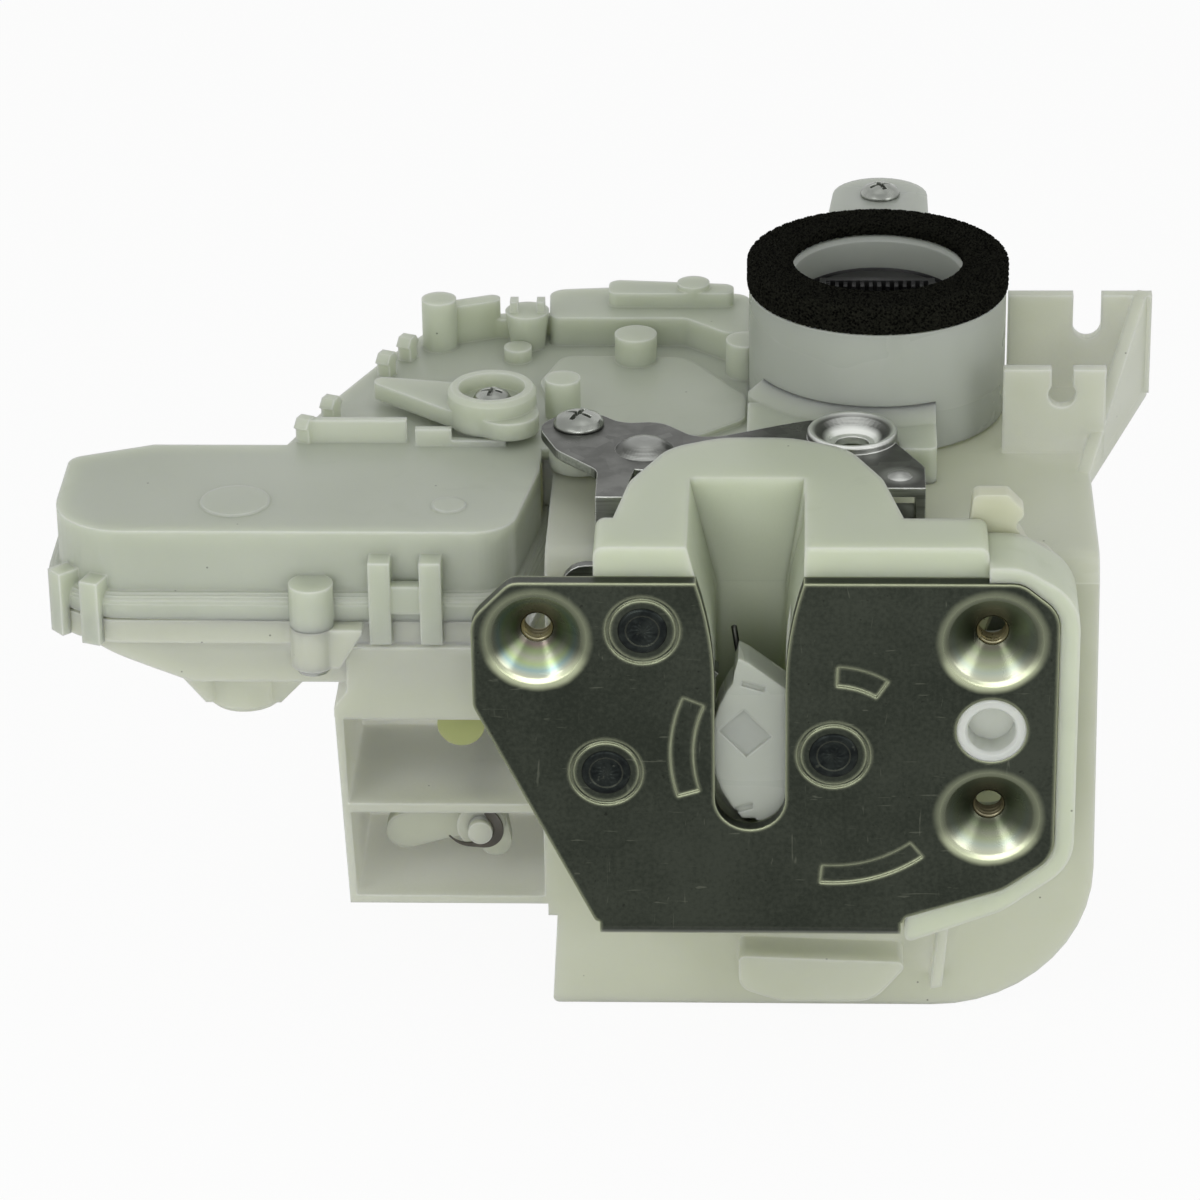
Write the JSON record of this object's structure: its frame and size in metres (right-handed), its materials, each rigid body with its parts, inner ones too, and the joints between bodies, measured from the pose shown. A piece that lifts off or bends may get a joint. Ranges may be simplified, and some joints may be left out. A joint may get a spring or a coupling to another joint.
{
  "type": "car door latch",
  "caption": "Car door latch: steel face plate with striker slot, open claw and pawl, plastic housing, release lever, and a motor-driven lock module with a round connector port.",
  "frame": {"origin": "bottom arc's centre of the striker slot, on the face plate's front face", "axes": "+X across the plate to the right seen from the front, +Y into the door, +Z along the striker slot to its mouth"},
  "size_m": [0.1823, 0.1223, 0.109],
  "materials": {
    "plate_steel": "dark olive zinc over satin steel",
    "bracket_steel": "bright galvanised",
    "hard_steel": "satin",
    "rivet_steel": "dark, coined",
    "screw_steel": "bright zinc",
    "spring_steel": "dark oiled wire",
    "white_plastic": "cream white, glossy",
    "bush_plastic": "white",
    "natural_plastic": "natural, slightly translucent",
    "shroud_plastic": "bright white",
    "gear_plastic": "warm natural",
    "clip_plastic": "slightly yellow natural",
    "black_plastic": "black",
    "rubber": "black",
    "bumper_rubber": "pale yellow-green",
    "foam": "black open-cell foam",
    "brass": "satin",
    "pin_metal": "gold-coloured"
  },
  "bodies": {
    "case": {"latch_plate": "plate_steel", "locator_bush": "bush_plastic", "latch_housing": "white_plastic", "back_plate": "bracket_steel", "pawl_spring": "spring_steel", "claw_pivot": "rivet_steel", "pawl_pivot": "rivet_steel", "spacer_rivet": "rivet_steel", "striker_bumper": "rubber", "release_pivot": "rivet_steel", "base_housing": "natural_plastic", "module_cover": "natural_plastic", "connector_shroud": "shroud_plastic", "foam_gasket": "foam", "connector_body": "black_plastic", "connector_pins": "pin_metal", "wheel_axle": "hard_steel", "motor_can": "bracket_steel", "motor_cap": "bush_plastic", "inner_pivot": "hard_steel", "pivot_clip": "spring_steel", "stop_bumper": "bumper_rubber", "bracket_screws": "screw_steel", "case_screws": "screw_steel", "shroud_screw": "screw_steel"},
    "claw": {"claw_core": "hard_steel", "claw_jacket": "bush_plastic", "claw_spring": "spring_steel"},
    "pawl": {"pawl": "hard_steel", "pawl_lifter": "bracket_steel"},
    "release": {"outer_release_lever": "bracket_steel", "rod_clip": "clip_plastic"},
    "lock": {"lock_lever": "clip_plastic", "lock_screw": "screw_steel", "lock_crank": "gear_plastic"},
    "slide": {"lock_slide": "gear_plastic"},
    "wheel": {"worm_wheel": "gear_plastic"},
    "worm": {"worm": "brass"},
    "inner": {"inner_release_lever": "clip_plastic"}
  },
  "joints": [
    {"name": "claw_turn", "type": "hinge", "parent": "case", "child": "claw", "pos_m": [0.0132, 0.006, 0.0079], "axis": [0, -1, 0], "range_deg": [0, 90], "stiffness_Nm_per_rad": 0.02, "springref_deg": -34.38, "deforming": ["claw_spring"]},
    {"name": "pawl_turn", "type": "hinge", "parent": "case", "child": "pawl", "pos_m": [-0.0228, 0.006, 0.0047], "axis": [0, -1, 0], "range_deg": [-6.8, 8.4]},
    {"name": "release_turn", "type": "hinge", "parent": "case", "child": "release", "pos_m": [0, 0.0164, -0.021], "axis": [0, 1, 0], "range_deg": [-5.6, 7], "stiffness_Nm_per_rad": 0.03},
    {"name": "lock_turn", "type": "hinge", "parent": "case", "child": "lock", "pos_m": [-0.0436, 0.0635, 0.036], "axis": [0, 0, -1], "range_deg": [0, 40]},
    {"name": "slide_travel", "type": "slide", "parent": "case", "child": "slide", "axis": [-1, 0, 0], "range_m": [0, 0.0069]},
    {"name": "wheel_turn", "type": "hinge", "parent": "case", "child": "wheel", "pos_m": [-0.0835, 0.034, 0.02], "axis": [0, 0, 1], "range_deg": [0, 66]},
    {"name": "worm_turn", "type": "hinge", "parent": "case", "child": "worm", "pos_m": [-0.0835, 0.046, 0.0191], "axis": [1, 0, 0], "range_deg": [0, 1050]},
    {"name": "inner_turn", "type": "hinge", "parent": "case", "child": "inner", "pos_m": [-0.0445, 0.03, -0.0176], "axis": [0, 1, 0], "range_deg": [0, 16], "stiffness_Nm_per_rad": 0.01}
  ],
  "couplings": [
    {"joint": "pawl_turn", "follows": "release_turn", "ratio": 1.146},
    {"joint": "slide_travel", "follows": "lock_turn", "m_per_rad": 0.009798},
    {"joint": "wheel_turn", "follows": "lock_turn", "ratio": 1.633},
    {"joint": "worm_turn", "follows": "lock_turn", "ratio": 26.128}
  ]
}
